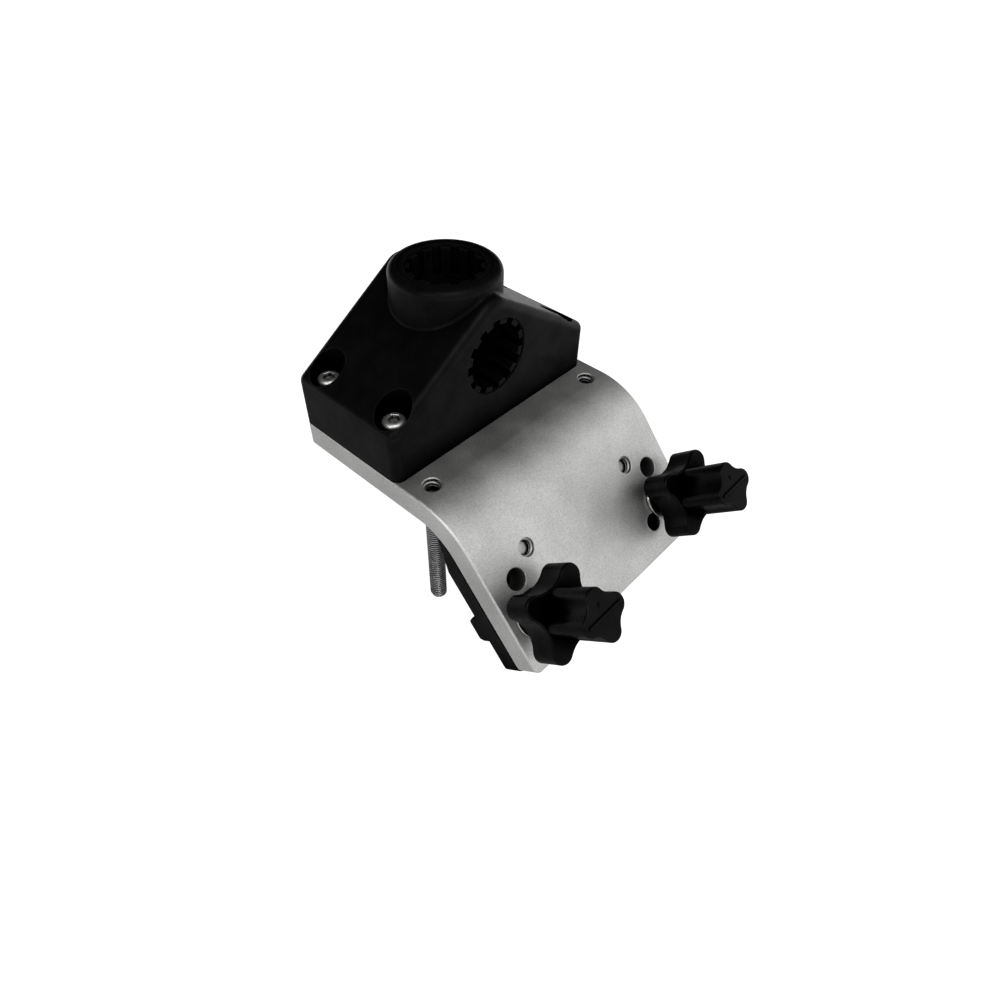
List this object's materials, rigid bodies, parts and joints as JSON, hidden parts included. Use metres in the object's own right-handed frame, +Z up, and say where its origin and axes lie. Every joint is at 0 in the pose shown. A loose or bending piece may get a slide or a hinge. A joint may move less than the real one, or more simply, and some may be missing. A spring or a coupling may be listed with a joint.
{
  "type": "rod holder base",
  "caption": "Clamp-on rod holder base: a splined mount screwed to a bent aluminium plate, held in a gunwale track by knob-tightened T-bolts and levelled by threaded studs.",
  "frame": {"origin": "the foot of the top socket's axis, where it meets the plate's top face; the centre of the moulded mount's base", "axes": "+Z up along the top socket, -Y out of the side socket and towards the bend, +X along the bend"},
  "size_m": [0.1286, 0.1678, 0.1385],
  "materials": {
    "mount_nylon": "black glass-filled nylon, fine grain, satin",
    "knob_plastic": "black moulded plastic, soft sheen",
    "pad_plastic": "black plastic sheet, finely textured",
    "plate_aluminium": "bead-blasted and clear-anodised",
    "stainless": "polished stainless steel",
    "stud_steel": "bright zinc-plated thread",
    "insert_brass": "turned brass"
  },
  "bodies": {
    "base": {"mount_housing": "mount_nylon", "mount_screws": "stainless", "mounting_plate": "plate_aluminium", "track_pad": "pad_plastic", "pad_screws": "stainless", "clamp_washers": "stainless"},
    "knob_left": {"clamp_knob_left": "knob_plastic", "knob_insert_left": "insert_brass"},
    "bolt_left": {"track_bolt_left": "stainless"},
    "stud_left": {"levelling_stud_left": "stud_steel"},
    "knob_right": {"clamp_knob_right": "knob_plastic", "knob_insert_right": "insert_brass"},
    "bolt_right": {"track_bolt_right": "stainless"},
    "stud_right": {"levelling_stud_right": "stud_steel"}
  },
  "joints": [
    {"name": "turn_knob_left", "type": "hinge", "parent": "base", "child": "knob_left", "pos_m": [-0.0453, -0.0968, -0.03937], "axis": [0, -0.7455, 0.6665], "range_deg": [-720, 720]},
    {"name": "draw_bolt_left", "type": "slide", "parent": "base", "child": "bolt_left", "axis": [0, -0.7455, 0.6665], "range_m": [-0.0029, 0.0029]},
    {"name": "raise_stud_left", "type": "slide", "parent": "base", "child": "stud_left", "axis": [0, 0, 1], "range_m": [-0.00282, 0.03951]},
    {"name": "turn_knob_right", "type": "hinge", "parent": "base", "child": "knob_right", "pos_m": [0.0503, -0.0968, -0.03937], "axis": [0, -0.7455, 0.6665], "range_deg": [-720, 720]},
    {"name": "draw_bolt_right", "type": "slide", "parent": "base", "child": "bolt_right", "axis": [0, -0.7455, 0.6665], "range_m": [-0.0029, 0.0029]},
    {"name": "raise_stud_right", "type": "slide", "parent": "base", "child": "stud_right", "axis": [0, 0, 1], "range_m": [-0.00282, 0.03951]}
  ],
  "couplings": [
    {"joint": "draw_bolt_left", "follows": "turn_knob_left", "m_per_rad": -0.00022457},
    {"joint": "draw_bolt_right", "follows": "turn_knob_right", "m_per_rad": -0.00022457}
  ]
}
